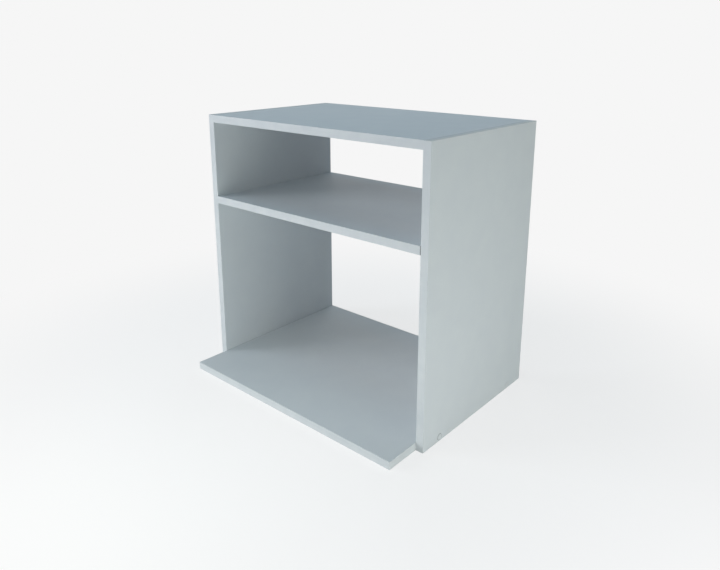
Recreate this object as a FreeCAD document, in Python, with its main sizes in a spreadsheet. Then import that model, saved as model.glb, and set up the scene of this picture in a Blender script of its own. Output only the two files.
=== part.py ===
import FreeCAD, Part
import enum
import os
import Sketcher

# Counter-top stand for a microwave oven: a flat-pack carcass of white
# melamine-faced chipboard. Two sides carry a top, a shelf, a deeper base board
# that reaches out in front of them, and a stretcher rail under the shelf at
# the back. At each end of the top and the shelf a cam connector pulls the
# joint tight between two dowels. Dowels carry the rail, which the shelf's cams
# clamp between the sides. Screws driven through the sides hold the base.
#
# X runs across the front, Y from front to back, Z up. The origin is the
# middle of the footprint, on the surface that the stand rests on.

FULL_TURN = 360.0


class Place(enum.IntEnum):
    """How a sketch's constraints number its own axes and the points of a piece."""
    HORIZONTAL_AXIS = -1
    VERTICAL_AXIS = -2
    START = 1
    END = 2
    CENTRE = 3


DRIVING_SIZES = {
    # carcass
    "overall_width": 550,
    "overall_height": 535,
    "side_depth": 340,
    "base_reach": 72,
    "board_thickness": 15,
    "oven_opening_height": 337,
    "rail_height": 80,
    "band_thickness": 0.45,
    # where the fittings sit
    "fitting_setback": 50,
    "hole_pitch": 32,
    "cam_backset": 24,
    "bore_clearance": 0.1,
    "bore_end_gap": 0.5,
    # cam housing
    "cam_diameter": 15,
    "cam_height": 12,
    "cam_face_thickness": 2.6,
    "cam_cavity_diameter": 8.2,
    "cam_throw": 1.1,
    "cam_lock_turn": 220,
    "cross_recess_span": 6,
    "cross_recess_width": 1.9,
    "cross_recess_depth": 1.8,
    # cam bolt
    "bolt_bore_diameter": 8,
    "bolt_root_diameter": 5,
    "bolt_root_length": 11,
    "bolt_shank_diameter": 7,
    "bolt_neck_diameter": 3.5,
    "bolt_head_diameter": 5.6,
    "bolt_head_length": 4.6,
    # dowel
    "dowel_diameter": 8,
    "dowel_length": 30,
    "dowel_in_side": 10,
    "dowel_chamfer": 1,
    "dowel_ribs": 12,
    # connector screw
    "screw_length": 50,
    "screw_head_diameter": 10,
    "screw_collar_diameter": 7,
    "screw_root_diameter": 5,
    "screw_tip_length": 5,
    "screw_tip_diameter": 1,
    "screw_socket_width": 4,
    "screw_socket_depth": 3,
    # caps
    "screw_cap_diameter": 13,
    "screw_cap_thickness": 0.4,
    "cam_cover_diameter": 18,
    "cam_cover_thickness": 1,
    "cam_cover_peg_diameter": 1.7,
    "cam_cover_peg_length": 1.5,
}

doc = FreeCAD.newDocument("MicrowaveStand")
sheet = doc.addObject("Spreadsheet::Sheet", "Sizes")
for row, (alias, value) in enumerate(DRIVING_SIZES.items(), start=1):
    sheet.set(f"A{row}", alias.replace("_", " "))
    sheet.set(f"B{row}", str(value))
    sheet.setAlias(f"B{row}", alias)
doc.recompute()


# ---- sizes worked out from the sheet, as expressions ----

def cell(alias):
    """The sheet's cell of that name, as it is written in an expression."""
    return "Sizes." + alias


BOARD = cell("board_thickness")
BAND = cell("band_thickness")
HEIGHT = cell("overall_height")
DEPTH = cell("side_depth")
REACH = cell("base_reach")
SETBACK = cell("fitting_setback")
PITCH = cell("hole_pitch")
CLEARANCE = cell("bore_clearance")
END_GAP = cell("bore_end_gap")

MID_BOARD = f"({BOARD} / 2)"
HALF_WIDTH = f"({cell('overall_width')} / 2)"
HALF_INNER = f"({HALF_WIDTH} - {BOARD})"
INNER_WIDTH = f"(2 * {HALF_INNER})"
CARCASS_FRONT = f"(({REACH} - {DEPTH}) / 2)"
BASE_FRONT = f"({CARCASS_FRONT} - {REACH})"
BASE_DEPTH = f"({REACH} + {DEPTH})"

BASE_BOTTOM = "0"
SHELF_BOTTOM = f"({BOARD} + {cell('oven_opening_height')})"
TOP_BOTTOM = f"({HEIGHT} - {BOARD})"
RAIL_HEIGHT = cell("rail_height")
RAIL_BOTTOM = f"({SHELF_BOTTOM} - {RAIL_HEIGHT})"
RAIL_FRONT = f"({DEPTH} - {BOARD})"

FRONT_FITTING = SETBACK
MID_FITTING = f"({DEPTH} / 2)"
BACK_FITTING = f"({DEPTH} - {SETBACK})"
FITTING_SPACING = f"({BACK_FITTING} - {FRONT_FITTING})"
LOW_RAIL_DOWEL = f"(({RAIL_HEIGHT} - {PITCH}) / 2)"
HIGH_RAIL_DOWEL = f"({LOW_RAIL_DOWEL} + {PITCH})"

CAM_BACKSET = cell("cam_backset")
CAM_X = f"({CAM_BACKSET} - {HALF_INNER})"
CAM_BORE = f"({cell('cam_diameter')} + 2 * {CLEARANCE})"
CAM_BORE_DEPTH = f"({cell('cam_height')} + {END_GAP})"
ROOT_BORE = f"({cell('bolt_root_diameter')} + 2 * {CLEARANCE})"
ROOT_BORE_DEPTH = f"({cell('bolt_root_length')} + {END_GAP})"
DOWEL_BORE = f"({cell('dowel_diameter')} + 2 * {CLEARANCE})"
DOWEL_DEPTH_IN_SIDE = f"({cell('dowel_in_side')} + {END_GAP})"
DOWEL_DEPTH_IN_BOARD = f"({cell('dowel_length')} - {cell('dowel_in_side')} + {END_GAP})"
SCREW_ROOT_BORE = f"({cell('screw_root_diameter')} + 2 * {CLEARANCE})"
SCREW_COLLAR_BORE = f"({cell('screw_collar_diameter')} + 2 * {CLEARANCE})"
SCREW_HEAD_BORE = f"({cell('screw_head_diameter')} + 2 * {CLEARANCE})"
SCREW_DEPTH_IN_BOARD = f"({cell('screw_length')} - {BOARD} + {END_GAP})"


# ---- helpers for bodies, sketches and features ----

def size(expression):
    """The number that an expression over the sheet gives now."""
    return float(sheet.evalExpression(expression))


def bind(target, prop, expression):
    """Tie one property of an object to the sheet."""
    target.setExpression(prop, expression)


def place(target, x="0", y="0", z="0"):
    """Tie an object's place to the sheet."""
    bind(target, "Placement.Base.x", x)
    bind(target, "Placement.Base.y", y)
    bind(target, "Placement.Base.z", z)


def new_body(label):
    body = doc.addObject("PartDesign::Body", label)
    body.Label = label
    return body


def origin_feature(body, role):
    return next(item for item in body.Origin.OriginFeatures if item.Role == role)


def new_sketch(body, name, role, shift=("0", "0", "0")):
    """A sketch on one of the body's own planes, shifted in that plane's axes."""
    sketch = body.newObject("Sketcher::SketchObject", f"{body.Name}_{name}")
    sketch.AttachmentSupport = [(origin_feature(body, role), "")]
    sketch.MapMode = "FlatFace"
    for axis, expression in zip("xyz", shift):
        bind(sketch, f"AttachmentOffset.Base.{axis}", expression)
    return sketch


def dimension(sketch, kind, targets, expression):
    """A driving dimension that follows the sheet."""
    index = sketch.addConstraint(Sketcher.Constraint(kind, *targets, size(expression)))
    name = f"size_{index}"
    sketch.renameConstraint(index, name)
    bind(sketch, f"Constraints.{name}", expression)


def locate(sketch, geometry, point, x, y):
    """Dimension a point from the sketch's origin along both axes."""
    origin = (Place.HORIZONTAL_AXIS, Place.START)
    for kind, axis, expression in (("DistanceX", Place.VERTICAL_AXIS, x),
                                   ("DistanceY", Place.HORIZONTAL_AXIS, y)):
        if expression == "0":
            sketch.addConstraint(Sketcher.Constraint("PointOnObject", geometry, point, axis))
        else:
            dimension(sketch, kind, (*origin, geometry, point), expression)


def draw_outline(sketch, points):
    """A closed outline of straight edges, each corner dimensioned from the origin."""
    corners = [FreeCAD.Vector(size(x), size(y), 0) for x, y in points]
    first = len(sketch.Geometry)
    count = len(corners)
    for index, corner in enumerate(corners):
        sketch.addGeometry(Part.LineSegment(corner, corners[(index + 1) % count]), False)
    for index in range(count):
        following = first + (index + 1) % count
        sketch.addConstraint(Sketcher.Constraint("Coincident", first + index, Place.END,
                                                 following, Place.START))
    for index, (x, y) in enumerate(points):
        locate(sketch, first + index, Place.START, x, y)


def draw_rectangle(sketch, low, high):
    draw_outline(sketch, [low, (high[0], low[1]), high, (low[0], high[1])])


def draw_circle(sketch, x, y, diameter):
    centre = FreeCAD.Vector(size(x), size(y), 0)
    normal = FreeCAD.Vector(0, 0, 1)
    index = sketch.addGeometry(Part.Circle(centre, normal, size(diameter) / 2), False)
    locate(sketch, index, Place.CENTRE, x, y)
    dimension(sketch, "Diameter", (index,), diameter)


def add_pad(body, sketch, length, name):
    feature = body.newObject("PartDesign::Pad", f"{body.Name}_{name}")
    feature.Profile = sketch
    bind(feature, "Length", length)
    return feature


def add_pocket(body, sketch, depth, name, along_normal=False):
    """A pocket of a given depth, against the sketch's normal or along it."""
    feature = body.newObject("PartDesign::Pocket", f"{body.Name}_{name}")
    feature.Profile = sketch
    feature.Reversed = along_normal
    bind(feature, "Length", depth)
    return feature


def add_revolution(body, sketch, axis, name):
    feature = body.newObject("PartDesign::Revolution", f"{body.Name}_{name}")
    feature.Profile = sketch
    feature.ReferenceAxis = (sketch, [axis])
    feature.Angle = FULL_TURN
    return feature


def repeat_along(body, role, spacing):
    """A second copy of the whole fastener, along one of the body's axes."""
    doc.recompute()
    feature = body.newObject("PartDesign::LinearPattern", f"{body.Name}_pair")
    feature.TransformMode = "Whole shape"
    feature.Direction = (origin_feature(body, role), [""])
    feature.Occurrences = 2
    bind(feature, "Length", spacing)
    body.Tip = feature


def repeat_on_right(body, cuts=None):
    """Mirror the given cuts, or the whole shape, in the stand's middle plane."""
    doc.recompute()
    feature = body.newObject("PartDesign::Mirrored", f"{body.Name}_left_and_right")
    if cuts:
        feature.Originals = cuts
    else:
        feature.TransformMode = "Whole shape"
    feature.MirrorPlane = (origin_feature(body, "YZ_Plane"), [""])
    body.Tip = feature


def mirror_copy(source, label):
    """The right-hand piece: the left-hand one mirrored in the middle plane."""
    copy = doc.addObject("Part::Mirroring", label)
    copy.Label = label
    copy.Source = source
    copy.Normal = FreeCAD.Vector(1, 0, 0)
    copy.Base = FreeCAD.Vector(0, 0, 0)
    return copy


def add_strip(label, corner, extent):
    """A plain strip of edge band, from its lowest corner."""
    strip = doc.addObject("Part::Box", label)
    strip.Label = label
    for prop, expression in zip(("Length", "Width", "Height"), extent):
        bind(strip, prop, expression)
    place(strip, *corner)
    return strip


# ---- boards ----

def add_end_bores(body, end, centres, diameter, depth, name):
    """Blind bores in a board's left end, on the given (depth, height) centres."""
    sketch = new_sketch(body, f"{name}_centres", "YZ_Plane", ("0", "0", f"-{end}"))
    for y, z in centres:
        draw_circle(sketch, y, z, diameter)
    return add_pocket(body, sketch, depth, name, along_normal=True)


def make_side():
    """Left side: a plain board with the bores that carry every other board."""
    body = new_body("side_left")
    outline = new_sketch(body, "outline", "YZ_Plane")
    draw_rectangle(outline, (BAND, "0"), (DEPTH, f"({HEIGHT} - {BAND})"))
    add_pad(body, outline, BOARD, "panel")

    bolts = new_sketch(body, "bolt_centres", "YZ_Plane", ("0", "0", BOARD))
    dowels = new_sketch(body, "dowel_centres", "YZ_Plane", ("0", "0", BOARD))
    for bottom in (SHELF_BOTTOM, TOP_BOTTOM):
        middle = f"({bottom} + {MID_BOARD})"
        draw_circle(bolts, MID_FITTING, middle, ROOT_BORE)
        for y in (FRONT_FITTING, BACK_FITTING):
            draw_circle(dowels, y, middle, DOWEL_BORE)
    for height in (LOW_RAIL_DOWEL, HIGH_RAIL_DOWEL):
        draw_circle(dowels, f"({RAIL_FRONT} + {MID_BOARD})", f"({RAIL_BOTTOM} + {height})",
                    DOWEL_BORE)
    add_pocket(body, bolts, ROOT_BORE_DEPTH, "bolt_bores")
    add_pocket(body, dowels, DOWEL_DEPTH_IN_SIDE, "dowel_bores")

    screws = new_sketch(body, "screw_centres", "YZ_Plane")
    for y in (FRONT_FITTING, BACK_FITTING):
        draw_circle(screws, y, MID_BOARD, SCREW_COLLAR_BORE)
    doc.recompute()
    hole = body.newObject("PartDesign::Hole", "side_left_screw_holes")
    hole.Profile = screws
    hole.Reversed = True
    hole.Threaded = False
    hole.DepthType = "ThroughAll"
    hole.HoleCutType = "Countersink"
    hole.HoleCutCustomValues = True
    hole.HoleCutCountersinkAngle = 90
    bind(hole, "Diameter", SCREW_COLLAR_BORE)
    bind(hole, "HoleCutDiameter", SCREW_HEAD_BORE)
    place(body, f"-{HALF_WIDTH}", CARCASS_FRONT)
    return body


def make_cam_board(label, bottom):
    """Top or shelf: its ends take cam bolts and dowels, its underside takes cams."""
    body = new_body(label)
    outline = new_sketch(body, "outline", "XY_Plane")
    draw_rectangle(outline, (f"-{HALF_INNER}", BAND), (HALF_INNER, DEPTH))
    add_pad(body, outline, BOARD, "panel")
    dowel_centres = [(y, MID_BOARD) for y in (FRONT_FITTING, BACK_FITTING)]
    dowels = add_end_bores(body, HALF_INNER, dowel_centres, DOWEL_BORE,
                           DOWEL_DEPTH_IN_BOARD, "dowel_bores")
    bolts = add_end_bores(body, HALF_INNER, [(MID_FITTING, MID_BOARD)],
                          cell("bolt_bore_diameter"), CAM_BACKSET, "bolt_bores")
    centres = new_sketch(body, "cam_centres", "XY_Plane")
    draw_circle(centres, CAM_X, MID_FITTING, CAM_BORE)
    cams = add_pocket(body, centres, CAM_BORE_DEPTH, "cam_bores", along_normal=True)
    repeat_on_right(body, [bolts, dowels, cams])
    place(body, "0", CARCASS_FRONT, bottom)
    return body


def make_base():
    """Base: deeper than the sides, bored at its ends for the screws."""
    body = new_body("base_panel")
    half_core = f"({HALF_INNER} - {BAND})"
    outline = new_sketch(body, "outline", "XY_Plane")
    draw_rectangle(outline, (f"-{half_core}", BAND), (half_core, BASE_DEPTH))
    add_pad(body, outline, BOARD, "panel")
    screw_centres = [(f"({REACH} + {y})", MID_BOARD) for y in (FRONT_FITTING, BACK_FITTING)]
    screws = add_end_bores(body, half_core, screw_centres, SCREW_ROOT_BORE,
                           f"({SCREW_DEPTH_IN_BOARD} - {BAND})", "screw_bores")
    repeat_on_right(body, [screws])
    place(body, "0", BASE_FRONT, BASE_BOTTOM)
    return body


def make_rail():
    """Stretcher rail on edge under the shelf, with two dowels at each end."""
    body = new_body("rear_rail")
    outline = new_sketch(body, "outline", "XY_Plane", ("0", "0", BAND))
    draw_rectangle(outline, (f"-{HALF_INNER}", "0"), (HALF_INNER, BOARD))
    add_pad(body, outline, f"({RAIL_HEIGHT} - {BAND})", "panel")
    dowel_centres = [(MID_BOARD, height) for height in (LOW_RAIL_DOWEL, HIGH_RAIL_DOWEL)]
    dowels = add_end_bores(body, HALF_INNER, dowel_centres, DOWEL_BORE,
                           DOWEL_DEPTH_IN_BOARD, "dowel_bores")
    repeat_on_right(body, [dowels])
    place(body, "0", f"({CARCASS_FRONT} + {RAIL_FRONT})", RAIL_BOTTOM)
    return body


# ---- edge band ----

def make_bands():
    """Strips of plastic band glued on the edges that show."""
    left = f"-{HALF_WIDTH}"
    inner_left = f"-{HALF_INNER}"
    under_top_band = f"({HEIGHT} - {BAND})"
    side_front = add_strip("side_left_front_band", (left, CARCASS_FRONT, "0"),
                           (BOARD, BAND, under_top_band))
    side_top = add_strip("side_left_top_band", (left, CARCASS_FRONT, under_top_band),
                         (BOARD, DEPTH, BAND))
    rail_y = f"({CARCASS_FRONT} + {RAIL_FRONT})"
    return [
        side_front,
        side_top,
        mirror_copy(side_front, "side_right_front_band"),
        mirror_copy(side_top, "side_right_top_band"),
        add_strip("top_front_band", (inner_left, CARCASS_FRONT, TOP_BOTTOM),
                  (INNER_WIDTH, BAND, BOARD)),
        add_strip("shelf_front_band", (inner_left, CARCASS_FRONT, SHELF_BOTTOM),
                  (INNER_WIDTH, BAND, BOARD)),
        add_strip("base_front_band", (inner_left, BASE_FRONT, BASE_BOTTOM),
                  (INNER_WIDTH, BAND, BOARD)),
        add_strip("rail_bottom_band", (inner_left, rail_y, RAIL_BOTTOM),
                  (INNER_WIDTH, BOARD, BAND)),
    ]


def make_base_end_band():
    """Band on the base's left end, pierced by the screws."""
    body = new_body("base_left_end_band")
    outline = new_sketch(body, "outline", "YZ_Plane")
    draw_rectangle(outline, (BAND, "0"), (BASE_DEPTH, BOARD))
    for y in (FRONT_FITTING, BACK_FITTING):
        draw_circle(outline, f"({REACH} + {y})", MID_BOARD, SCREW_ROOT_BORE)
    add_pad(body, outline, BAND, "strip")
    place(body, f"-{HALF_INNER}", BASE_FRONT, BASE_BOTTOM)
    return body


# ---- fittings ----

def turned_profile(body, stations, x, y, z):
    """Turn a piece about a line along X: stations are (distance, diameter) pairs."""
    profile = new_sketch(body, "profile", "XY_Plane", (x, y, z))
    outline = [(stations[0][0], "0")]
    outline += [(distance, f"({diameter} / 2)") for distance, diameter in stations]
    outline += [(stations[-1][0], "0")]
    draw_outline(profile, outline)
    return add_revolution(body, profile, "H_Axis", "turning")


def add_cam(body, x, y):
    """One cast cam housing, closed on the bolt's head, its face at height zero.

    The eccentric cavity pulls on the head. A track in the wall lets the neck
    pass while the cam turns from the mouth, where the head went in, to the lock.
    """
    here = (x, y, "0")
    disc = new_sketch(body, "disc", "XY_Plane", here)
    draw_circle(disc, "0", "0", cell("cam_diameter"))
    add_pad(body, disc, cell("cam_height"), "housing")

    cavity = new_sketch(body, "cavity", "XY_Plane", (x, y, cell("cam_height")))
    draw_circle(cavity, cell("cam_throw"), "0", cell("cam_cavity_diameter"))
    inner_height = f"({cell('cam_height')} - {cell('cam_face_thickness')})"
    add_pocket(body, cavity, inner_height, "eccentric_cavity")

    half_track = f"({cell('bolt_neck_diameter')} / 2 + {CLEARANCE})"
    head_half = f"({cell('bolt_head_diameter')} / 2 + {CLEARANCE})"
    outside = f"({cell('cam_diameter')} / 2 + {END_GAP})"
    mouth = new_sketch(body, "mouth", "XY_Plane", (x, y, cell("cam_height")))
    draw_rectangle(mouth, ("0", f"-{head_half}"), (outside, head_half))
    mouth_depth = f"({cell('cam_height')} - {MID_BOARD} + {head_half})"
    add_pocket(body, mouth, mouth_depth, "entry_mouth")

    track = new_sketch(body, "track", "XZ_Plane", (x, MID_BOARD, f"-{y}"))
    draw_rectangle(track, ("0", f"-{half_track}"), (outside, half_track))
    groove = body.newObject("PartDesign::Groove", f"{body.Name}_neck_track")
    groove.Profile = track
    groove.ReferenceAxis = (track, ["V_Axis"])
    bind(groove, "Angle", cell("cam_lock_turn"))

    half_arm = f"({cell('cross_recess_width')} / 2)"
    half_span = f"({cell('cross_recess_span')} / 2)"
    cross = new_sketch(body, "cross", "XY_Plane", here)
    quarter = [(half_arm, half_span), (half_arm, half_arm), (half_span, half_arm)]
    outline = []
    for sign_x, sign_y, points in (("", "", quarter), ("", "-", quarter[::-1]),
                                   ("-", "-", quarter), ("-", "", quarter[::-1])):
        outline += [(f"{sign_x}{px}", f"{sign_y}{py}") for px, py in points]
    draw_outline(cross, outline)
    add_pocket(body, cross, cell("cross_recess_depth"), "cross_recess", along_normal=True)


def add_cam_bolt(body, y, z):
    """One cam bolt: root in the side, shank against its face, head in the cam."""
    neck = cell("bolt_neck_diameter")
    rim = cell("bolt_head_diameter")
    bevel = f"(({rim} - {neck}) / 2)"
    cavity_back = f"({CAM_BACKSET} + {cell('cam_throw')} - {cell('cam_cavity_diameter')} / 2)"
    head_back = f"({cavity_back} + 2 * {CLEARANCE})"
    head_front = f"({head_back} + {cell('bolt_head_length')})"
    neck_start = f"({CAM_BACKSET} - {cell('cam_diameter')} / 2 - {END_GAP})"
    stations = [
        (f"-{cell('bolt_root_length')}", cell("bolt_root_diameter")),
        ("0", cell("bolt_root_diameter")),
        ("0", cell("bolt_shank_diameter")),
        (neck_start, cell("bolt_shank_diameter")),
        (neck_start, neck),
        (head_back, neck),
        (f"({head_back} + {bevel})", rim),
        (f"({head_front} - {bevel})", rim),
        (head_front, neck),
    ]
    turned_profile(body, stations, f"-{HALF_INNER}", y, z)


def add_dowel(body, y, z):
    """One ribbed beech dowel across the joint, with both ends chamfered.

    Flats around it leave a rib at each corner, and room for glue between them.
    """
    dowel = body.newObject("PartDesign::AdditivePrism", f"{body.Name}_prism")
    dowel.AttachmentSupport = [(origin_feature(body, "YZ_Plane"), "")]
    dowel.MapMode = "FlatFace"
    bind(dowel, "Polygon", cell("dowel_ribs"))
    bind(dowel, "Circumradius", f"({cell('dowel_diameter')} / 2)")
    bind(dowel, "Height", cell("dowel_length"))
    start = f"-({HALF_INNER} + {cell('dowel_in_side')})"
    for axis, expression in zip("xyz", (y, z, start)):
        bind(dowel, f"AttachmentOffset.Base.{axis}", expression)
    doc.recompute()
    ends = [f"Face{index}" for index, face in enumerate(dowel.Shape.Faces, start=1)
            if len(face.Edges) == int(size(cell("dowel_ribs")))]
    chamfer = body.newObject("PartDesign::Chamfer", f"{body.Name}_end_chamfers")
    chamfer.Base = (dowel, ends)
    bind(chamfer, "Size", cell("dowel_chamfer"))


def add_cam_cover(body, x, y):
    """One clip-on plastic cover: a thin disc with a peg in the cam's recess."""
    radius = f"({cell('cam_cover_diameter')} / 2)"
    peg = f"({cell('cam_cover_peg_diameter')} / 2)"
    face = f"-{cell('cam_cover_thickness')}"
    bevel = f"({cell('cam_cover_thickness')} / 2)"
    profile = new_sketch(body, "profile", "XZ_Plane", (x, "0", f"-{y}"))
    draw_outline(profile, [
        ("0", face),
        (f"({radius} - {bevel})", face),
        (radius, f"-{bevel}"),
        (radius, "0"),
        (peg, "0"),
        (peg, cell("cam_cover_peg_length")),
        ("0", cell("cam_cover_peg_length")),
    ])
    add_revolution(body, profile, "V_Axis", "cover")


def make_cam_fittings(prefix, bottom):
    """One board's cams, bolts and covers, one at each end, and its dowels."""
    cams = new_body(f"{prefix}_cam_housings")
    add_cam(cams, CAM_X, MID_FITTING)
    bolts = new_body(f"{prefix}_cam_bolts")
    add_cam_bolt(bolts, MID_FITTING, MID_BOARD)
    covers = new_body(f"{prefix}_cam_covers")
    add_cam_cover(covers, CAM_X, MID_FITTING)
    dowels = new_body(f"{prefix}_dowels")
    add_dowel(dowels, FRONT_FITTING, MID_BOARD)
    repeat_along(dowels, "Y_Axis", FITTING_SPACING)
    for body in (cams, bolts, covers, dowels):
        repeat_on_right(body)
        place(body, "0", CARCASS_FRONT, bottom)
    return [cams, bolts, covers, dowels]


def make_rail_dowels():
    dowels = new_body("rail_dowels")
    add_dowel(dowels, MID_BOARD, LOW_RAIL_DOWEL)
    repeat_along(dowels, "Z_Axis", PITCH)
    repeat_on_right(dowels)
    place(dowels, "0", f"({CARCASS_FRONT} + {RAIL_FRONT})", RAIL_BOTTOM)
    return dowels


def make_base_fittings():
    """Connector screws, and the caps over them, at both ends of the base."""
    screws = new_body("base_screws")
    head_depth = f"(({cell('screw_head_diameter')} - {cell('screw_collar_diameter')}) / 2)"
    tip_start = f"({cell('screw_length')} - {cell('screw_tip_length')})"
    stations = [
        ("0", cell("screw_head_diameter")),
        (head_depth, cell("screw_collar_diameter")),
        (BOARD, cell("screw_collar_diameter")),
        (BOARD, cell("screw_root_diameter")),
        (tip_start, cell("screw_root_diameter")),
        (cell("screw_length"), cell("screw_tip_diameter")),
    ]
    turned_profile(screws, stations, f"-{HALF_WIDTH}", FRONT_FITTING, MID_BOARD)
    socket = new_sketch(screws, "socket", "YZ_Plane",
                        (FRONT_FITTING, MID_BOARD, f"-{HALF_WIDTH}"))
    flat = f"({cell('screw_socket_width')} / 2)"
    corner = f"({cell('screw_socket_width')} / sqrt(3))"
    half_corner = f"({corner} / 2)"
    draw_outline(socket, [
        (corner, "0"), (half_corner, flat), (f"-{half_corner}", flat),
        (f"-{corner}", "0"), (f"-{half_corner}", f"-{flat}"), (half_corner, f"-{flat}"),
    ])
    add_pocket(screws, socket, cell("screw_socket_depth"), "hexagon_socket", along_normal=True)

    caps = new_body("base_screw_caps")
    bevel = f"({cell('screw_cap_thickness')} / 2)"
    rim = cell("screw_cap_diameter")
    cap_stations = [
        (f"-{cell('screw_cap_thickness')}", f"({rim} - 2 * {bevel})"),
        (f"-{bevel}", rim),
        ("0", rim),
    ]
    turned_profile(caps, cap_stations, f"-{HALF_WIDTH}", FRONT_FITTING, MID_BOARD)
    for body in (screws, caps):
        repeat_along(body, "Y_Axis", FITTING_SPACING)
        repeat_on_right(body)
        place(body, "0", CARCASS_FRONT, BASE_BOTTOM)
    return [screws, caps]


# ---- the stand ----

side_left = make_side()
base_end_band = make_base_end_band()
pieces = [
    side_left,
    mirror_copy(side_left, "side_right"),
    make_cam_board("top_panel", TOP_BOTTOM),
    make_cam_board("shelf_panel", SHELF_BOTTOM),
    make_base(),
    make_rail(),
    base_end_band,
    mirror_copy(base_end_band, "base_right_end_band"),
]
pieces += make_bands()
pieces += make_cam_fittings("top", TOP_BOTTOM)
pieces += make_cam_fittings("shelf", SHELF_BOTTOM)
pieces.append(make_rail_dowels())
pieces += make_base_fittings()
doc.recompute()

# ---- check, then write each sub-part ----

failed = [item.Name for item in doc.Objects if {"Invalid", "Error"} & set(item.State)]
if failed:
    raise RuntimeError("these objects failed: " + ", ".join(failed))
os.makedirs("parts", exist_ok=True)
for piece in pieces:
    shape = piece.Shape
    if shape.isNull() or not shape.isValid():
        raise RuntimeError(piece.Label + " has no valid shape")
    shape.exportStep(f"parts/{piece.Label}.step")
    print(f"{piece.Label}: {len(shape.Solids)} solids, {shape.Volume / 1000:.2f} cm3")
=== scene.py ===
# %% [markdown]
# # A counter-top stand for a microwave oven
#
# The stand is flat-pack furniture: two sides, a top, a shelf, a rail under the
# shelf at the back, and a base that reaches out in front so that the oven's
# feet have room. Everything is 15 mm chipboard faced with white melamine paper.
#
# The solids come from the CAD model and stay exactly where they are. This
# lesson gives them what a solid lacks: eased corners, the layers of each
# material, a camera, light and a floor.

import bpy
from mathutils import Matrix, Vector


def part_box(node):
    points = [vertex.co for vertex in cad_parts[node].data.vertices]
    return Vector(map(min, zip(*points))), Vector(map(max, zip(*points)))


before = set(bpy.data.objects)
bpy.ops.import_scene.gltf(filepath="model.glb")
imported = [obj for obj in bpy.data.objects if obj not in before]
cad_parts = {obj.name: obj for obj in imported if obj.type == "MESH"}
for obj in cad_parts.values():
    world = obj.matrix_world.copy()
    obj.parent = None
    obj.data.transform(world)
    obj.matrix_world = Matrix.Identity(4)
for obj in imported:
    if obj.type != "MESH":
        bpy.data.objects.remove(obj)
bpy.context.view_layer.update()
print("CAD nodes:", len(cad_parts))

# %% [markdown]
# ## Working values
#
# Blender measures in metres, while a joiner thinks in millimetres. One constant
# keeps the two apart: a length is written as `15 * MM`. Texture nodes ask for
# a scale, which is how many pattern cells fit in one metre, so a pitch in
# millimetres is turned over once, by `cells_per_metre`.

# %% Units
import math

import bpy
from mathutils import Vector

MM = 0.001
AXES = {"x": 0, "y": 1, "z": 2}


def cells_per_metre(pitch_mm):
    """The scale of a pattern whose cells are that many millimetres apart."""
    return 1 / (pitch_mm * MM)


print("a 3 mm chip is a scale of", round(cells_per_metre(3)))

# %% [markdown]
# ## Colours
#
# A colour is easiest to compare when it is written as the sRGB hex value that a
# screen shows. The shader works with linear light, so one function undoes the
# sRGB curve.

# %% Hex to linear
SRGB_KNEE = 0.04045
SRGB_SLOPE = 12.92
SRGB_OFFSET = 0.055
SRGB_POWER = 2.4


def linear(hex_value):
    """The linear RGBA of an sRGB hex value such as #D6DCE0."""
    channels = []
    for start in (1, 3, 5):
        value = int(hex_value[start:start + 2], 16) / 255
        if value <= SRGB_KNEE:
            channels.append(value / SRGB_SLOPE)
        else:
            channels.append(((value + SRGB_OFFSET) / (1 + SRGB_OFFSET)) ** SRGB_POWER)
    return (*channels, 1.0)


print("mid grey #808080 is", round(linear("#808080")[0], 3), "of the light")

# %% [markdown]
# ## One way to add a node
#
# Every material below is a small graph. Writing each node by hand takes four or
# five lines, so one function does it: it makes a node of any kind, sets the
# node's own settings, and fills its sockets with a value or a link. Sockets go
# by name or by number. The Mix node needs numbers, because it has a pair of its
# own for each kind of data: 2 and 3 for single values, 4 and 5 for vectors, 6
# and 7 for colours. Its outputs are 0, 1 and 2 in the same order.

# %% Node helper


def add_node(tree, kind, sockets=None, stops=None, **settings):
    """Add a node. `sockets` holds values or links, `stops` a ramp's colours."""
    node = tree.nodes.new(kind)
    for name, value in settings.items():
        setattr(node, name, value)
    for key, value in (sockets or {}).items():
        if isinstance(value, bpy.types.NodeSocket):
            tree.links.new(value, node.inputs[key])
        else:
            node.inputs[key].default_value = value
    if stops:
        ramp = node.color_ramp.elements
        while len(ramp) < len(stops):
            ramp.new(0.5)
        for element, (position, colour) in zip(ramp, stops):
            element.position = position
            element.color = colour
    return node


def new_material(name, **constants):
    """A material with its shader's constants, and the place of each point on it."""
    material = bpy.data.materials.new(name)
    material.use_nodes = True
    tree = material.node_tree
    shader = tree.nodes["Principled BSDF"]
    for socket, value in constants.items():
        shader.inputs[socket.replace("_", " ")].default_value = value
    place = add_node(tree, "ShaderNodeTexCoord").outputs["Object"]
    return material, tree, shader, place


print("helpers ready")

# %% [markdown]
# ## Chipboard under the paper
#
# Where a board is sawn and left bare, at its back and bottom edges and in its
# bores, three layers show: fine, dense dust next to each face and coarse chips
# in the middle. The chips lie flat, so on an edge they look long and thin.
# Voronoi cells, squeezed across the thickness, give each chip one colour of its
# own. Far from a cell's middle is near its border, so there the colour falls
# off into the dark gap between two chips. The dust uses the same cells, made
# smaller: only their size changes where the layer does.

# %% Raw chipboard
# Length and thickness in millimetres.
CHIP = (3.6, 0.8)
DUST = (1.0, 0.35)
DUST_LAYER = 2.2 * MM
CHIP_TONES = [
    (0.00, linear("#7E6043")),
    (0.10, linear("#AE8D63")),
    (0.40, linear("#C9A97E")),
    (0.75, linear("#DCC097")),
    (1.00, linear("#EDDAB8")),
]
GAP_SHADE = 0.5
# How far from a cell's middle its colour starts to fall off, and where it ends.
CELL_EDGE = (0.6, 0.95)
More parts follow.
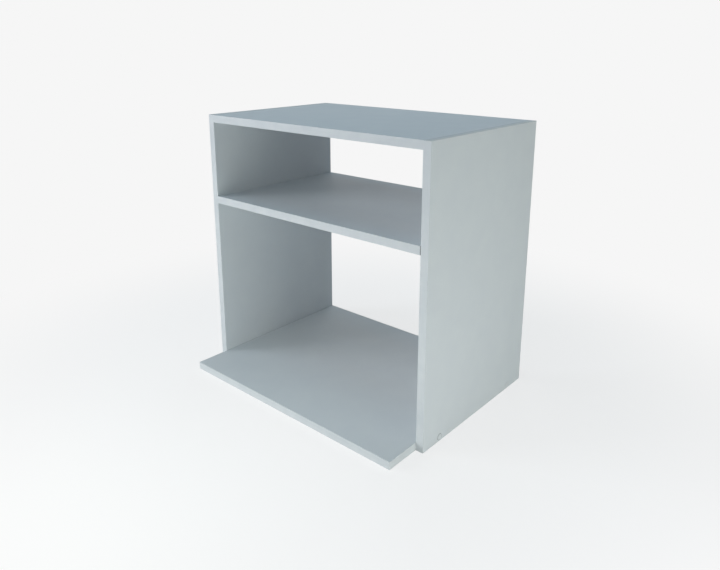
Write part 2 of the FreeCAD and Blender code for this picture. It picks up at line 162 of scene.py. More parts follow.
# A noise of this scale, in cells, bends their straight borders by this much.
WANDER_SCALE = 0.7
WANDER = (0.9, 0.9, 0.9)


def flat_cells(axis, grain):
    """The scale, in cells per metre, of cells with that length and thickness."""
    scale = [cells_per_metre(grain[0])] * 3
    scale[AXES[axis]] = cells_per_metre(grain[1])
    return scale


def chips(tree, place, axis, in_dust):
    """Colour and height of flat chips that lie square to the given axis."""
    scale = add_node(tree, "ShaderNodeMix", {0: in_dust, 4: flat_cells(axis, CHIP),
                                             5: flat_cells(axis, DUST)}, data_type="VECTOR")
    scaled = add_node(tree, "ShaderNodeVectorMath", {0: place, 1: scale.outputs[1]},
                      operation="MULTIPLY").outputs["Vector"]
    wander = add_node(tree, "ShaderNodeTexNoise",
                      {"Vector": scaled, "Scale": WANDER_SCALE}).outputs["Color"]
    bent = add_node(tree, "ShaderNodeVectorMath", {0: wander, 1: WANDER, 2: scaled},
                    operation="MULTIPLY_ADD").outputs["Vector"]
    cells = add_node(tree, "ShaderNodeTexVoronoi", {"Vector": bent, "Scale": 1.0}).outputs
    pick = add_node(tree, "ShaderNodeSeparateColor", {"Color": cells["Color"]}).outputs
    tone = add_node(tree, "ShaderNodeValToRGB", {"Fac": pick["Red"]}, stops=CHIP_TONES)
    solid = add_node(tree, "ShaderNodeMapRange",
                     {"Value": cells["Distance"],
                      "From Min": CELL_EDGE[1], "From Max": CELL_EDGE[0],
                      "To Min": GAP_SHADE}).outputs["Result"]
    shaded = add_node(tree, "ShaderNodeVectorMath",
                      {0: tone.outputs["Color"], 3: solid}, operation="SCALE").outputs["Vector"]
    height = add_node(tree, "ShaderNodeMath", {0: solid, 1: pick["Green"]},
                      operation="MULTIPLY").outputs["Value"]
    return shaded, height


print("chips are", CHIP[0], "mm long, dust", DUST[0], "mm")

# %% [markdown]
# ## Melamine-faced board
#
# The paper on both faces is printed white, soaked in melamine resin and pressed
# on between steel plates with a fine pearl texture. It looks satin: a soft
# sheen, no mirror. Seen on end it is a hard white line, a quarter of a
# millimetre thick, on each side of the chips. The saw leaves small nibbles in
# it along a raw edge.
#
# One material would have to know which way each board lies, so a function
# makes one for each board: it measures how far a point is from the board's
# middle plane, and shows paper near a face and chipboard elsewhere.
#
# The boards meet tightly, so their joints show no line. Only the shelf is cut
# a hair short on the right, where a dark gap is left beside it. The solids
# touch there, so the gap's shade is painted on the shelf's end.
#
# The white and the sheen drift a little over a board. A noise texture gives
# numbers from 0 to 1 that seldom stray far from a half, so the middle of its
# range is stretched over the whole change of tone. Its Detail is how many finer
# layers of noise lie on top of the first.

# %% Melamine-faced board
NOISE_MIDDLE = (0.3, 0.7)
MELAMINE_IOR = 1.5
PAPER_SHADES = ("#D6DBDF", "#D9DEE1")
CLOUD_PITCH = 45
SATIN = (0.54, 0.59)
HANDLING_PITCH = 70
SAWN_ROUGHNESS = 0.9
PAPER = 0.25 * MM
PAPER_FADE = 0.05 * MM
NIBBLE_DEPTH = 0.8 * MM
NIBBLE_PITCH = 1.4
NIBBLE_RANGE = (0.56, 0.8)
# A point nearer than this to a raw side lies on the sawn face itself, which has
# no nibbles.
FACE_SKIN = 0.02 * MM
# The pearl's real pitch is about 0.4 mm; it is drawn coarser so that it shows.
PEARL_PITCH = 1.6
PEARL_HEIGHT = 0.012 * MM
WAVE_PITCH = 14
WAVE_HEIGHT = 0.03 * MM
CHIP_RELIEF = 0.25 * MM
# The solids touch, so the gap's dark shade is painted on the shelf's own end.
SEAM = 1.2 * MM
PAINTED_SEAM_SHADE = linear("#2C3032")


def distance_in(tree, along, box, axis, side):
    """How far a point lies inside one side of a box: zero on the side itself."""
    edge = box[1][AXES[axis]] if side > 0 else box[0][AXES[axis]]
    return add_node(tree, "ShaderNodeMath", {0: along[AXES[axis]], 1: -side, 2: side * edge},
                    operation="MULTIPLY_ADD").outputs["Value"]


def paint_seam_shade(tree, along, box, colour, seams):
    """Paint a gap's dark shade where an end is short of the board beside it."""
    for axis, side in seams:
        inward = distance_in(tree, along, box, axis, side)
        seam_shade_mask = add_node(tree, "ShaderNodeMath", {0: inward, 1: SEAM},
                              operation="LESS_THAN").outputs["Value"]
        colour = add_node(tree, "ShaderNodeMix", {0: seam_shade_mask, 6: colour, 7: PAINTED_SEAM_SHADE},
                          data_type="RGBA").outputs[2]
    return colour


def melamine_board(node_name, axis, raw_edges, seams):
    """White melamine-faced chipboard for one board, raw on the named edges."""
    low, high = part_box(node_name)
    index = AXES[axis]
    middle = (low[index] + high[index]) / 2
    half = (high[index] - low[index]) / 2
    material, tree, shader, place = new_material(
        f"melamine_faced_chipboard_{node_name}", IOR=MELAMINE_IOR)
    along = add_node(tree, "ShaderNodeSeparateXYZ", {"Vector": place}).outputs

    offset = add_node(tree, "ShaderNodeMath", {0: along[index], 1: middle},
                      operation="SUBTRACT")
    depth = add_node(tree, "ShaderNodeMath", {0: offset.outputs["Value"]},
                     operation="ABSOLUTE").outputs["Value"]
    paper = add_node(tree, "ShaderNodeMapRange",
                     {"Value": depth, "From Min": half - PAPER - PAPER_FADE,
                      "From Max": half - PAPER}).outputs["Result"]

    bite = add_node(tree, "ShaderNodeTexNoise",
                    {"Vector": place, "Scale": cells_per_metre(NIBBLE_PITCH),
                     "Detail": 3.0}).outputs["Fac"]
    nibble = add_node(tree, "ShaderNodeMapRange",
                      {"Value": bite, "From Min": NIBBLE_RANGE[0],
                       "From Max": NIBBLE_RANGE[1],
                       "To Max": NIBBLE_DEPTH}).outputs["Result"]
    for edge_axis, side in raw_edges:
        inward = distance_in(tree, along, (low, high), edge_axis, side)
        whole = add_node(tree, "ShaderNodeMath", {0: inward, 1: nibble},
                         operation="GREATER_THAN").outputs["Value"]
        flush = add_node(tree, "ShaderNodeMath", {0: inward, 1: FACE_SKIN},
                         operation="LESS_THAN").outputs["Value"]
        kept = add_node(tree, "ShaderNodeMath", {0: whole, 1: flush},
                        operation="MAXIMUM").outputs["Value"]
        paper = add_node(tree, "ShaderNodeMath", {0: paper, 1: kept},
                         operation="MULTIPLY").outputs["Value"]

    cloud = add_node(tree, "ShaderNodeTexNoise",
                     {"Vector": place, "Scale": cells_per_metre(CLOUD_PITCH),
                      "Detail": 5.0}).outputs["Fac"]
    white = add_node(tree, "ShaderNodeValToRGB", {"Fac": cloud},
                     stops=list(zip(NOISE_MIDDLE, map(linear, PAPER_SHADES))))
    in_dust = add_node(tree, "ShaderNodeMath", {0: depth, 1: half - DUST_LAYER},
                       operation="GREATER_THAN").outputs["Value"]
    core, rubble = chips(tree, place, axis, in_dust)
    colour = add_node(tree, "ShaderNodeMix",
                      {0: paper, 6: core, 7: white.outputs["Color"]}, data_type="RGBA")
    # The seams' dark colour is painted shade of a gap.
    seam_shaded = paint_seam_shade(tree, along, (low, high), colour.outputs[2], seams)
    tree.links.new(seam_shaded, shader.inputs["Base Color"])

    handled = add_node(tree, "ShaderNodeTexNoise",
                       {"Vector": place, "Scale": cells_per_metre(HANDLING_PITCH),
                        "Detail": 4.0}).outputs["Fac"]
    satin = add_node(tree, "ShaderNodeMapRange",
                     {"Value": handled,
                      "From Min": NOISE_MIDDLE[0], "From Max": NOISE_MIDDLE[1],
                      "To Min": SATIN[0], "To Max": SATIN[1]}).outputs["Result"]
    rough = add_node(tree, "ShaderNodeMix", {0: paper, 2: SAWN_ROUGHNESS, 3: satin})
    tree.links.new(rough.outputs[0], shader.inputs["Roughness"])

    pearl = add_node(tree, "ShaderNodeTexNoise",
                     {"Vector": place, "Scale": cells_per_metre(PEARL_PITCH)}).outputs["Fac"]
    wave = add_node(tree, "ShaderNodeTexNoise",
                    {"Vector": place, "Scale": cells_per_metre(WAVE_PITCH)}).outputs["Fac"]
    broad = add_node(tree, "ShaderNodeMath", {0: wave, 1: WAVE_HEIGHT}, operation="MULTIPLY")
    skin = add_node(tree, "ShaderNodeMath", {0: pearl, 1: PEARL_HEIGHT, 2: broad.outputs[0]},
                    operation="MULTIPLY_ADD").outputs["Value"]
    sawn = add_node(tree, "ShaderNodeMath", {0: rubble, 1: CHIP_RELIEF},
                    operation="MULTIPLY").outputs["Value"]
    relief = add_node(tree, "ShaderNodeMix", {0: paper, 2: sawn, 3: skin})
    bump = add_node(tree, "ShaderNodeBump", {"Height": relief.outputs[0], "Distance": 1.0})
    tree.links.new(bump.outputs["Normal"], shader.inputs["Normal"])
    return material


print("paper is", PAPER / MM, "mm thick on edge")

# %% [markdown]
# ## Dressing a CAD node
#
# A CAD node keeps its mesh, so its finish goes into its material slot. A real
# board has no knife-sharp corner: the paper breaks a little at the arris, and
# that catches the light along each edge. The CAD mesh has separate vertices
# along each corner, so a Weld modifier joins them first, and a Bevel then
# rounds every corner sharper than forty degrees.

# %% Dress a node
ARRIS = 0.2 * MM
ARRIS_SEGMENTS = 2
WELD = 0.001 * MM
SHARP = math.radians(40)


def dress(node_name, material, arris=0.0):
    """Give a CAD node its finish and, where it has one, its eased arris."""
    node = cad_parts[node_name]
    node.data.materials.clear()
    node.data.materials.append(material)
    if arris:
        weld = node.modifiers.new("joined_corners", "WELD")
        weld.merge_threshold = WELD
        bevel = node.modifiers.new("eased_arris", "BEVEL")
        bevel.width = arris
        bevel.segments = ARRIS_SEGMENTS
        bevel.limit_method = "ANGLE"
        bevel.angle_limit = SHARP
        bevel.use_clamp_overlap = False
        bevel.harden_normals = False
    print(node_name, "is", material.name)


# %% [markdown]
# Six boards take the melamine finish. Each is thin along one axis. Edges that
# nobody sees were left bare: those at the back, and the bottoms of the sides.

# %% Dress the boards
SHORT_END = [("x", 1)]
# Each board's thin axis, its raw edges, and its ends that are cut short, where a
# gap's shade is painted.
BOARDS = {
    "side_left": ("x", [("y", 1), ("z", -1)], []),
    "side_right": ("x", [("y", 1), ("z", -1)], []),
    "top_panel": ("z", [("y", 1)], []),
    "shelf_panel": ("z", [("y", 1)], SHORT_END),
    "base_panel": ("z", [("y", 1)], []),
    "rear_rail": ("y", [], []),
}

for board, facts in BOARDS.items():
    dress(board, melamine_board(board, *facts), ARRIS)

# %% [markdown]
# ## Edge band
#
# The edges that show are covered with PVC tape, 0.45 mm thick, glued on hot by
# a machine and trimmed flush. The tape comes off a roller, so it has very fine
# lines along its length, and its white is never quite the paper's white. The
# tape on the sides' top edges is written greyer than the rest. A thin grey line
# of glue shows where a strip meets its board. Each strip runs along one axis and
# is glued on one side, so a function makes each strip's material.

# %% PVC edge band
PVC_IOR = 1.53
BAND_WHITE = ("#D5DADD", "#DCE0E2")
BAND_GREY = ("#BCC3C6", "#C3C9CC")
BAND_STOPS = (0.5, 0.9)
BAND_GLOSS = (0.42, 0.54)
BAND_CLOUD_PITCH = 30
GLUE_LINE = 0.07 * MM
GLUE_FADE = 1.6 * GLUE_LINE
GLUE_COLOUR = "#8C8B86"
# Roller lines are about 0.1 mm apart; they are drawn at 0.7 mm so that they show.
ROLLER_PITCH = 0.7
ROLLER_LENGTH = 60
ROLLER_HEIGHT = 0.006 * MM
# How much the roller lines tell in the colour, beside the cloudy tone.
ROLLER_SHARE = 0.4


def edge_band(node_name, shades, run, glued_axis, glued_side, seams):
    """PVC tape that runs along one axis and is glued on one side."""
    low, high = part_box(node_name)
    material, tree, shader, place = new_material(f"pvc_edge_band_{node_name}", IOR=PVC_IOR)
    along = add_node(tree, "ShaderNodeSeparateXYZ", {"Vector": place}).outputs
    stretch = [cells_per_metre(ROLLER_PITCH)] * 3
    stretch[AXES[run]] = cells_per_metre(ROLLER_LENGTH)
    drawn = add_node(tree, "ShaderNodeVectorMath", {0: place, 1: stretch},
                     operation="MULTIPLY").outputs["Vector"]
    lines = add_node(tree, "ShaderNodeTexNoise",
                     {"Vector": drawn, "Scale": 1.0, "Detail": 2.0}).outputs["Fac"]
    shade = add_node(tree, "ShaderNodeTexNoise",
                     {"Vector": place, "Scale": cells_per_metre(BAND_CLOUD_PITCH),
                      "Detail": 3.0}).outputs["Fac"]
    both = add_node(tree, "ShaderNodeMath", {0: lines, 1: ROLLER_SHARE, 2: shade},
                    operation="MULTIPLY_ADD").outputs["Value"]
    white = add_node(tree, "ShaderNodeValToRGB", {"Fac": both},
                     stops=list(zip(BAND_STOPS, map(linear, shades))))
    away = distance_in(tree, along, (low, high), glued_axis, glued_side)
    clean = add_node(tree, "ShaderNodeMapRange",
                     {"Value": away, "From Min": GLUE_LINE,
                      "From Max": GLUE_FADE}).outputs["Result"]
    colour = add_node(tree, "ShaderNodeMix",
                      {0: clean, 6: linear(GLUE_COLOUR), 7: white.outputs["Color"]},
                      data_type="RGBA")
    # The seams' dark colour is painted shade of a gap.
    seam_shaded = paint_seam_shade(tree, along, (low, high), colour.outputs[2], seams)
    tree.links.new(seam_shaded, shader.inputs["Base Color"])
    gloss = add_node(tree, "ShaderNodeMapRange",
                     {"Value": lines, "From Min": NOISE_MIDDLE[0], "From Max": NOISE_MIDDLE[1],
                      "To Min": BAND_GLOSS[0], "To Max": BAND_GLOSS[1]}).outputs["Result"]
    tree.links.new(gloss, shader.inputs["Roughness"])
    height = add_node(tree, "ShaderNodeMath", {0: lines, 1: ROLLER_HEIGHT},
                      operation="MULTIPLY").outputs["Value"]
    bump = add_node(tree, "ShaderNodeBump", {"Height": height, "Distance": 1.0})
    tree.links.new(bump.outputs["Normal"], shader.inputs["Normal"])
    return material


# %% [markdown]
# Ten strips of tape cover the front, the sides' tops, the base's ends and the
# underside of the rail. Tape is softer than the board and is scraped flush, so
# its arris is finer.

# %% Dress the strips
BAND_ARRIS = 0.12 * MM
# Each strip's shades, the axis it runs along, the axis and side it is glued
# on, and its ends that are cut short, where a gap's shade is painted.
STRIPS = {
    "side_left_front_band": (BAND_WHITE, "z", "y", 1, []),
    "side_right_front_band": (BAND_WHITE, "z", "y", 1, []),
    "side_left_top_band": (BAND_GREY, "y", "z", -1, []),
    "side_right_top_band": (BAND_GREY, "y", "z", -1, []),
    "top_front_band": (BAND_WHITE, "x", "y", 1, []),
    "shelf_front_band": (BAND_WHITE, "x", "y", 1, SHORT_END),
    "base_front_band": (BAND_WHITE, "x", "y", 1, []),
    "rail_bottom_band": (BAND_WHITE, "x", "z", 1, []),
    "base_left_end_band": (BAND_WHITE, "y", "x", 1, []),
    "base_right_end_band": (BAND_WHITE, "y", "x", -1, []),
}

for strip, facts in STRIPS.items():
    dress(strip, edge_band(strip, *facts), BAND_ARRIS)

# %% [markdown]
# ## Caps and covers
#
# A round sticker of white PVC film hides each screw head on the outside of the
# sides, and a moulded polyethylene cover clips into each cam under the shelf
# and the top. The film is nearly the board's white. Only the front stickers,
# which hands and cloths brush against, get a grey ring at their cut rim: partly
# dust and partly painted shade of the film's edge, broken in patches where the
# dust has been wiped off. The rear ones have no ring.
# Polyethylene lets some light in, so it gets a trace of subsurface scattering,
# and its surface has the fine spark texture of its mould. Both whites are
# cloudier than paper, so a narrower part of the noise makes their tone.

# %% Film and polyethylene
CAP_DIAMETER = 13 * MM
# A sticker's grey rim, dust and painted shade, is about 0.3 mm wide; it is drawn wider so
# that it shows.
RING = 0.8 * MM
# The rim's grey is partly dust, partly painted shade of the film's edge.
RIM_DUST_AND_SHADE = linear("#757C80")
RIM_PATCH_PITCH = 4
RIM_PATCH_RANGE = (0.4, 0.55)
PLASTIC_CLOUD_PITCH = 6
NOISE_CORE = (0.35, 0.65)


def cap_rim_dust_and_shade(tree, place):
    """Dust and painted shade on the front caps' rims: one there, in patches, else zero."""
    low, high = (Vector(corner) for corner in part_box("base_screw_caps"))
    centre = (0, low.y + CAP_DIAMETER / 2, (low.z + high.z) / 2)
    shifted = add_node(tree, "ShaderNodeVectorMath", {0: place, 1: centre},
                       operation="SUBTRACT")
    flat = add_node(tree, "ShaderNodeVectorMath",
                    {0: shifted.outputs["Vector"], 1: (0, 1, 1)}, operation="MULTIPLY")
    radius = add_node(tree, "ShaderNodeVectorMath", {0: flat.outputs["Vector"]},
                      operation="LENGTH").outputs["Value"]
    outer = add_node(tree, "ShaderNodeMath", {0: radius, 1: CAP_DIAMETER / 2 - RING},
                     operation="GREATER_THAN").outputs["Value"]
    front = add_node(tree, "ShaderNodeMath", {0: radius, 1: CAP_DIAMETER},
                     operation="LESS_THAN").outputs["Value"]
    rim = add_node(tree, "ShaderNodeMath", {0: outer, 1: front},
                   operation="MULTIPLY").outputs["Value"]
    patches = add_node(tree, "ShaderNodeTexNoise",
                       {"Vector": place, "Scale": cells_per_metre(RIM_PATCH_PITCH)}).outputs["Fac"]
    rim_patches = add_node(tree, "ShaderNodeMapRange",
                     {"Value": patches, "From Min": RIM_PATCH_RANGE[0],
                      "From Max": RIM_PATCH_RANGE[1]}).outputs["Result"]
    return add_node(tree, "ShaderNodeMath", {0: rim, 1: rim_patches},
                    operation="MULTIPLY").outputs["Value"]


def soft_white(name, shades, pitch, height, roughness, ring=None, **constants):
    """A white plastic with a cloudy tone, uneven gloss and a fine texture."""
    material, tree, shader, place = new_material(name, **constants)
    cloud = add_node(tree, "ShaderNodeTexNoise",
                     {"Vector": place, "Scale": cells_per_metre(PLASTIC_CLOUD_PITCH),
                      "Detail": 4.0}).outputs["Fac"]
    white = add_node(tree, "ShaderNodeValToRGB", {"Fac": cloud},
                     stops=list(zip(NOISE_CORE, map(linear, shades))))
    colour = white.outputs["Color"]
    if ring:
        colour = add_node(tree, "ShaderNodeMix",
                          {0: ring(tree, place), 6: colour, 7: RIM_DUST_AND_SHADE},
                          data_type="RGBA").outputs[2]
    tree.links.new(colour, shader.inputs["Base Color"])
    gloss = add_node(tree, "ShaderNodeMapRange",
                     {"Value": cloud, "From Min": NOISE_MIDDLE[0], "From Max": NOISE_MIDDLE[1],
                      "To Min": roughness[0], "To Max": roughness[1]}).outputs["Result"]
    tree.links.new(gloss, shader.inputs["Roughness"])
    grain = add_node(tree, "ShaderNodeTexNoise",
                     {"Vector": place, "Scale": cells_per_metre(pitch), "Detail": 2.0})
    level = add_node(tree, "ShaderNodeMath", {0: grain.outputs["Fac"], 1: height},
                     operation="MULTIPLY").outputs["Value"]
    bump = add_node(tree, "ShaderNodeBump", {"Height": level, "Distance": 1.0})
    tree.links.new(bump.outputs["Normal"], shader.inputs["Normal"])
    return material


# Shades, then the texture's pitch in millimetres, its height, and the gloss.
FILM = (("#D2D7DA", "#D8DCDF"), 0.6, 0.006 * MM, (0.42, 0.52))
COVER = (("#DADDDC", "#E2E4E2"), 0.5, 0.012 * MM, (0.38, 0.48))
POLYETHYLENE = {"IOR": 1.52, "Subsurface_Weight": 0.1, "Subsurface_Scale": 0.8 * MM}

cap_film = soft_white("adhesive_pvc_film", *FILM, cap_rim_dust_and_shade, IOR=PVC_IOR)
cover_plastic = soft_white("moulded_polyethylene", *COVER, **POLYETHYLENE)

dress("base_screw_caps", cap_film)
for cover in ("top_cam_covers", "shelf_cam_covers"):
    dress(cover, cover_plastic)

# %% [markdown]
# ## Metal fittings
#
# The cam housings are die-cast zinc, tumbled with ceramic stones to take the
# flash off: a dull grey metal with soft pits. The bolts and screws are turned
# steel with bright zinc plating, so they have fine rings round their length
# and the bluish, slightly yellow tint of the passivate. Both are metals: all
# their colour is in the reflection, and the IOR stays at its default.

# %% Zinc and plated steel
TINT_PITCH = 5


def metal(name, shades, roughness, pattern_pitch, stretch, height):
    """A metal whose gloss and relief follow one stretched noise, and its tone another."""
    material, tree, shader, place = new_material(name, Metallic=1.0)
    scaled = add_node(tree, "ShaderNodeVectorMath",
                      {0: place, 1: [cells_per_metre(pattern_pitch * s) for s in stretch]},
                      operation="MULTIPLY").outputs["Vector"]
    marks = add_node(tree, "ShaderNodeTexNoise",
                     {"Vector": scaled, "Scale": 1.0, "Detail": 4.0}).outputs["Fac"]
    tint = add_node(tree, "ShaderNodeTexNoise",
                    {"Vector": place, "Scale": cells_per_metre(TINT_PITCH),
                     "Detail": 2.0}).outputs["Fac"]
    tone = add_node(tree, "ShaderNodeValToRGB", {"Fac": tint},
                    stops=list(zip(NOISE_CORE, map(linear, shades))))
    tree.links.new(tone.outputs["Color"], shader.inputs["Base Color"])
    gloss = add_node(tree, "ShaderNodeMapRange",
                     {"Value": marks, "From Min": NOISE_MIDDLE[0], "From Max": NOISE_MIDDLE[1],
                      "To Min": roughness[0], "To Max": roughness[1]}).outputs["Result"]
    tree.links.new(gloss, shader.inputs["Roughness"])
    level = add_node(tree, "ShaderNodeMath", {0: marks, 1: height},
                     operation="MULTIPLY").outputs["Value"]
    bump = add_node(tree, "ShaderNodeBump", {"Height": level, "Distance": 1.0})
    tree.links.new(bump.outputs["Normal"], shader.inputs["Normal"])
    return material


ALL_WAYS = (1, 1, 1)
ROUND_X = (1, 40, 40)
# Shades, gloss, the pattern's pitch in millimetres, its stretch and its height.
CAST = (("#A7A9AA", "#B9BBBD"), (0.38, 0.55), 0.5, ALL_WAYS, 0.05 * MM)
TURNED = (("#BFC6CD", "#CFCBBE"), (0.2, 0.34), 0.25, ROUND_X, 0.01 * MM)

cast_zinc = metal("die_cast_zinc", *CAST)
plated_steel = metal("zinc_plated_steel", *TURNED)

for board in ("top", "shelf"):
    dress(f"{board}_cam_housings", cast_zinc)
    dress(f"{board}_cam_bolts", plated_steel)
dress("base_screws", plated_steel)

# %% [markdown]
# ## Beech dowels
#
# The dowels are turned beech, pressed with ribs so that the glue can spread.
# Beech is pale and even, with straight grain along the dowel and short darker
# flecks, the ends of its rays, about two millimetres long. Noise stretched along
# X gives the grain, and Voronoi cells stretched the same way give the flecks.

# %% Beech
BEECH_IOR = 1.5
# The pitch of each pattern in millimetres, along X, Y and Z.
GRAIN = (12, 0.5, 0.5)
FLECK = (2.4, 0.35, 0.35)
FLECK_EDGE = (0.12, 0.3)
FLECK_COLOUR = linear("#94683F")
BEECH_SHADES = ("#B98B5C", "#D3AC7C")
BEECH_GLOSS = (0.5, 0.75)
GRAIN_HEIGHT = 0.06 * MM

beech, tree, shader, place = new_material("beech", IOR=BEECH_IOR)
grain_place = add_node(tree, "ShaderNodeVectorMath",
                       {0: place, 1: [cells_per_metre(p) for p in GRAIN]}, operation="MULTIPLY")
grain = add_node(tree, "ShaderNodeTexNoise", {"Vector": grain_place.outputs["Vector"],
                                              "Scale": 1.0, "Detail": 4.0}).outputs["Fac"]
wood = add_node(tree, "ShaderNodeValToRGB", {"Fac": grain},
                stops=list(zip(NOISE_MIDDLE, map(linear, BEECH_SHADES))))
fleck_place = add_node(tree, "ShaderNodeVectorMath",
                       {0: place, 1: [cells_per_metre(p) for p in FLECK]}, operation="MULTIPLY")
fleck = add_node(tree, "ShaderNodeTexVoronoi", {"Vector": fleck_place.outputs["Vector"],
                                                "Scale": 1.0}).outputs["Distance"]
spot = add_node(tree, "ShaderNodeMapRange", {"Value": fleck, "From Min": FLECK_EDGE[0],
                                             "From Max": FLECK_EDGE[1]})
beech_colour = add_node(tree, "ShaderNodeMix",
                        {0: spot.outputs["Result"], 6: FLECK_COLOUR,
                         7: wood.outputs["Color"]}, data_type="RGBA")
tree.links.new(beech_colour.outputs[2], shader.inputs["Base Color"])
beech_gloss = add_node(tree, "ShaderNodeMapRange", {"Value": grain, "To Min": BEECH_GLOSS[0],
                                                    "To Max": BEECH_GLOSS[1]})
tree.links.new(beech_gloss.outputs["Result"], shader.inputs["Roughness"])
beech_level = add_node(tree, "ShaderNodeMath", {0: grain, 1: GRAIN_HEIGHT},
                       operation="MULTIPLY")
beech_bump = add_node(tree, "ShaderNodeBump", {"Height": beech_level.outputs["Value"],
                                               "Distance": 1.0})
tree.links.new(beech_bump.outputs["Normal"], shader.inputs["Normal"])

for dowels in ("top_dowels", "shelf_dowels", "rail_dowels"):
    dress(dowels, beech)

# %% [markdown]
# ## Camera
#
# The stand is seen from its right front corner, from a little above its top.
# The 32 mm lens on a 36 mm wide sensor is a mild wide angle, so the boards run
# clearly towards their vanishing points. Part of the look down comes from
# shifting the lens instead of tilting the camera, as is usual for furniture and
# buildings: that keeps the upright boards nearly upright in the picture. Lengths
# are in metres, the lens and its sensor in millimetres, the angles in degrees.

# %% Camera
SENSOR = 36.0
LENS = 32.49
CAMERA_PLACE = (0.8296, -0.9302, 0.6797)
CAMERA_TILT = 14.85
CAMERA_TURN = 41.18
LENS_SHIFT = -0.10
NEAREST = 0.05
FARTHEST = 50

lens = bpy.data.cameras.new("camera")
lens.sensor_width = SENSOR
lens.lens = LENS
lens.shift_y = LENS_SHIFT
lens.clip_start = NEAREST
lens.clip_end = FARTHEST
camera = bpy.data.objects.new("camera", lens)
camera.location = CAMERA_PLACE
camera.rotation_euler = (math.radians(90 - CAMERA_TILT), 0, math.radians(CAMERA_TURN))
bpy.context.scene.collection.objects.link(camera)
bpy.context.scene.camera = camera
print("camera stands", round(Vector(CAMERA_PLACE).length, 2), "m from the origin")

# %% [markdown]
# ## Light
#
# The stand is lit like a piece on a white table in a small studio. A big soft
# box at the left front gives most of the light, so the front edges are the
# palest surfaces. It stands well back, so its light fades little from one end
# of the stand to the other. A second one, low on the right, lights the outer
# side from below, and a small one near the right front corner stands for the
# light that the white table throws back up. The box overhead is weak and cool,
# which is why the top is the darkest outer surface. One lamp shines on the
# table in front, whose bounce lifts the base's front edge, and one lights the
# back. Each lamp's watts and colour are what makes every board come out in its
# tone. The lamps can't be seen themselves.

# %% Lamps


def soft_box(name, place, aim, width, height, watts, colour):
    """A rectangular lamp at a place, turned to face another."""
    lamp = bpy.data.lights.new(name, "AREA")
    lamp.shape = "RECTANGLE"
    lamp.size = width
    lamp.size_y = height
    lamp.energy = watts
    lamp.color = colour
    holder = bpy.data.objects.new(name, lamp)
    holder.location = place
    holder.rotation_euler = (Vector(aim) - Vector(place)).to_track_quat("-Z", "Y").to_euler()
    holder.visible_camera = False
    bpy.context.scene.collection.objects.link(holder)
    print(name, watts, "W")
    return holder


MIDDLE = (0, 0, 0.27)
# Each lamp's place and aim, its width and height in metres, watts and colour.
LAMPS = {
    "left_box": ((-3.24, -2.88, 1.22), MIDDLE, 2.16, 2.16, 106.0, (0.92, 0.955, 1.0)),
    "right_low_box": ((2.2, -0.3, 0.15), MIDDLE, 1.2, 0.8, 17.6, (0.95, 1.0, 0.91)),
    "overhead_box": ((0, 0, 2.3), MIDDLE, 1.6, 1.6, 8.0, (0.40, 0.79, 1.0)),
    "table_box": ((0, -0.9, 0.5), (0, -0.9, 0), 0.6, 0.6, 2.75, (0.99, 1.0, 0.90)),
    "corner_box": ((0.9, -0.24, 0.1), (0.27, -0.12, 0.02), 0.45, 0.16, 0.78, (1.0, 0.98, 0.98)),
    "back_box": ((-0.9, 2.0, 0.7), MIDDLE, 1.2, 1.0, 9.0, (1.0, 1.0, 1.0)),
}
lamps = {name: soft_box(name, *facts) for name, facts in LAMPS.items()}
# Mirrored in the top at a shallow angle, the back box would wash the top out.
lamps["back_box"].visible_glossy = False

# %% [markdown]
# ## Walls of light and the floor
#
# The world stands for the pale walls: it lights the stand softly from all
# sides. What the camera, a reflection or glass sees of it is the plain pale
# background, and that is set apart from its light with the Light Path node.

# %% World
PALE = linear("#F6F6F6")
WALL_TINT = (0.85, 0.93, 1.0, 1.0)
WALL_LIGHT = 0.13


def seen_directly(tree):
    """One for rays from the camera, a glossy surface or glass, else zero."""
    ray = add_node(tree, "ShaderNodeLightPath").outputs
    gloss = add_node(tree, "ShaderNodeMath", {0: ray["Is Glossy Ray"],
                                              1: ray["Is Transmission Ray"]},
                     operation="MAXIMUM")
    return add_node(tree, "ShaderNodeMath", {0: ray["Is Camera Ray"], 1: gloss.outputs[0]},
                    operation="MAXIMUM").outputs["Value"]


world = bpy.data.worlds.new("pale_walls")
world.use_nodes = True
tree = world.node_tree
walls = tree.nodes["Background"]
walls.inputs["Color"].default_value = WALL_TINT
walls.inputs["Strength"].default_value = WALL_LIGHT
backdrop = add_node(tree, "ShaderNodeBackground", {"Color": PALE, "Strength": 1.0})
choice = add_node(tree, "ShaderNodeMixShader",
                  {0: seen_directly(tree), 1: walls.outputs[0], 2: backdrop.outputs[0]})
tree.links.new(choice.outputs[0], tree.nodes["World Output"].inputs["Surface"])
bpy.context.scene.world = world
print("the walls give", WALL_LIGHT, "of full light")

# %% [markdown]
# The floor is a wide white disc. Near the stand it shows its own diffuse light,
# so the soft shadow stays, lifted by a little glow that only direct rays see.
# Further out it fades into the backdrop's own colour, so there is no horizon.

# %% Floor
FLOOR_RADIUS = 6.0
FLOOR_SIDES = 96
SHADOW_REACH = (0.35, 1.05)
FLOOR_DROP = 0.1 * MM
FLOOR_WHITE = linear("#F0F0F0")
FLOOR_GLOW = 0.76
FLOOR_SHARE = 0.3

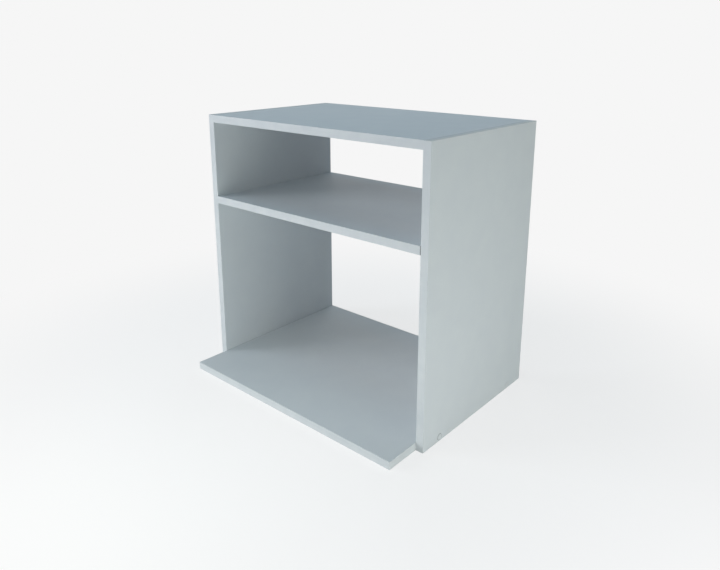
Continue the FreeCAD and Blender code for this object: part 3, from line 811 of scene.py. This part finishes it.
rim = [(FLOOR_RADIUS * math.cos(math.tau * k / FLOOR_SIDES),
        FLOOR_RADIUS * math.sin(math.tau * k / FLOOR_SIDES), -FLOOR_DROP)
       for k in range(FLOOR_SIDES)]
disc = bpy.data.meshes.new("floor")
disc.from_pydata(rim, [], [list(range(FLOOR_SIDES))])
floor = bpy.data.objects.new("floor", disc)
bpy.context.scene.collection.objects.link(floor)

paint = bpy.data.materials.new("matt_floor")
paint.use_nodes = True
tree = paint.node_tree
tree.nodes.remove(tree.nodes["Principled BSDF"])
place = add_node(tree, "ShaderNodeTexCoord").outputs["Object"]
distance = add_node(tree, "ShaderNodeVectorMath", {0: place},
                    operation="LENGTH").outputs["Value"]
far = add_node(tree, "ShaderNodeMapRange",
               {"Value": distance, "From Min": SHADOW_REACH[0], "From Max": SHADOW_REACH[1]},
               interpolation_type="SMOOTHSTEP").outputs["Result"]
matt = add_node(tree, "ShaderNodeBsdfDiffuse", {"Color": FLOOR_WHITE}).outputs["BSDF"]
thin = add_node(tree, "ShaderNodeBsdfDiffuse",
                {"Color": (FLOOR_SHARE, FLOOR_SHARE, FLOOR_SHARE, 1.0)}).outputs["BSDF"]
glow = add_node(tree, "ShaderNodeEmission", {"Color": PALE, "Strength": FLOOR_GLOW})
lifted = add_node(tree, "ShaderNodeAddShader", {0: thin, 1: glow.outputs["Emission"]})
plain = add_node(tree, "ShaderNodeEmission", {"Color": PALE, "Strength": 1.0})
faded = add_node(tree, "ShaderNodeMixShader",
                 {0: far, 1: lifted.outputs[0], 2: plain.outputs["Emission"]})
shown = add_node(tree, "ShaderNodeMixShader",
                 {0: seen_directly(tree), 1: matt, 2: faded.outputs[0]})
tree.links.new(shown.outputs[0], tree.nodes["Material Output"].inputs["Surface"])
disc.materials.append(paint)
print("floor is", 2 * FLOOR_RADIUS, "m across")

# %% [markdown]
# ## Look
#
# The plain Standard view shows a colour as it was written.

# %% Finish
bpy.context.scene.view_settings.view_transform = "Standard"
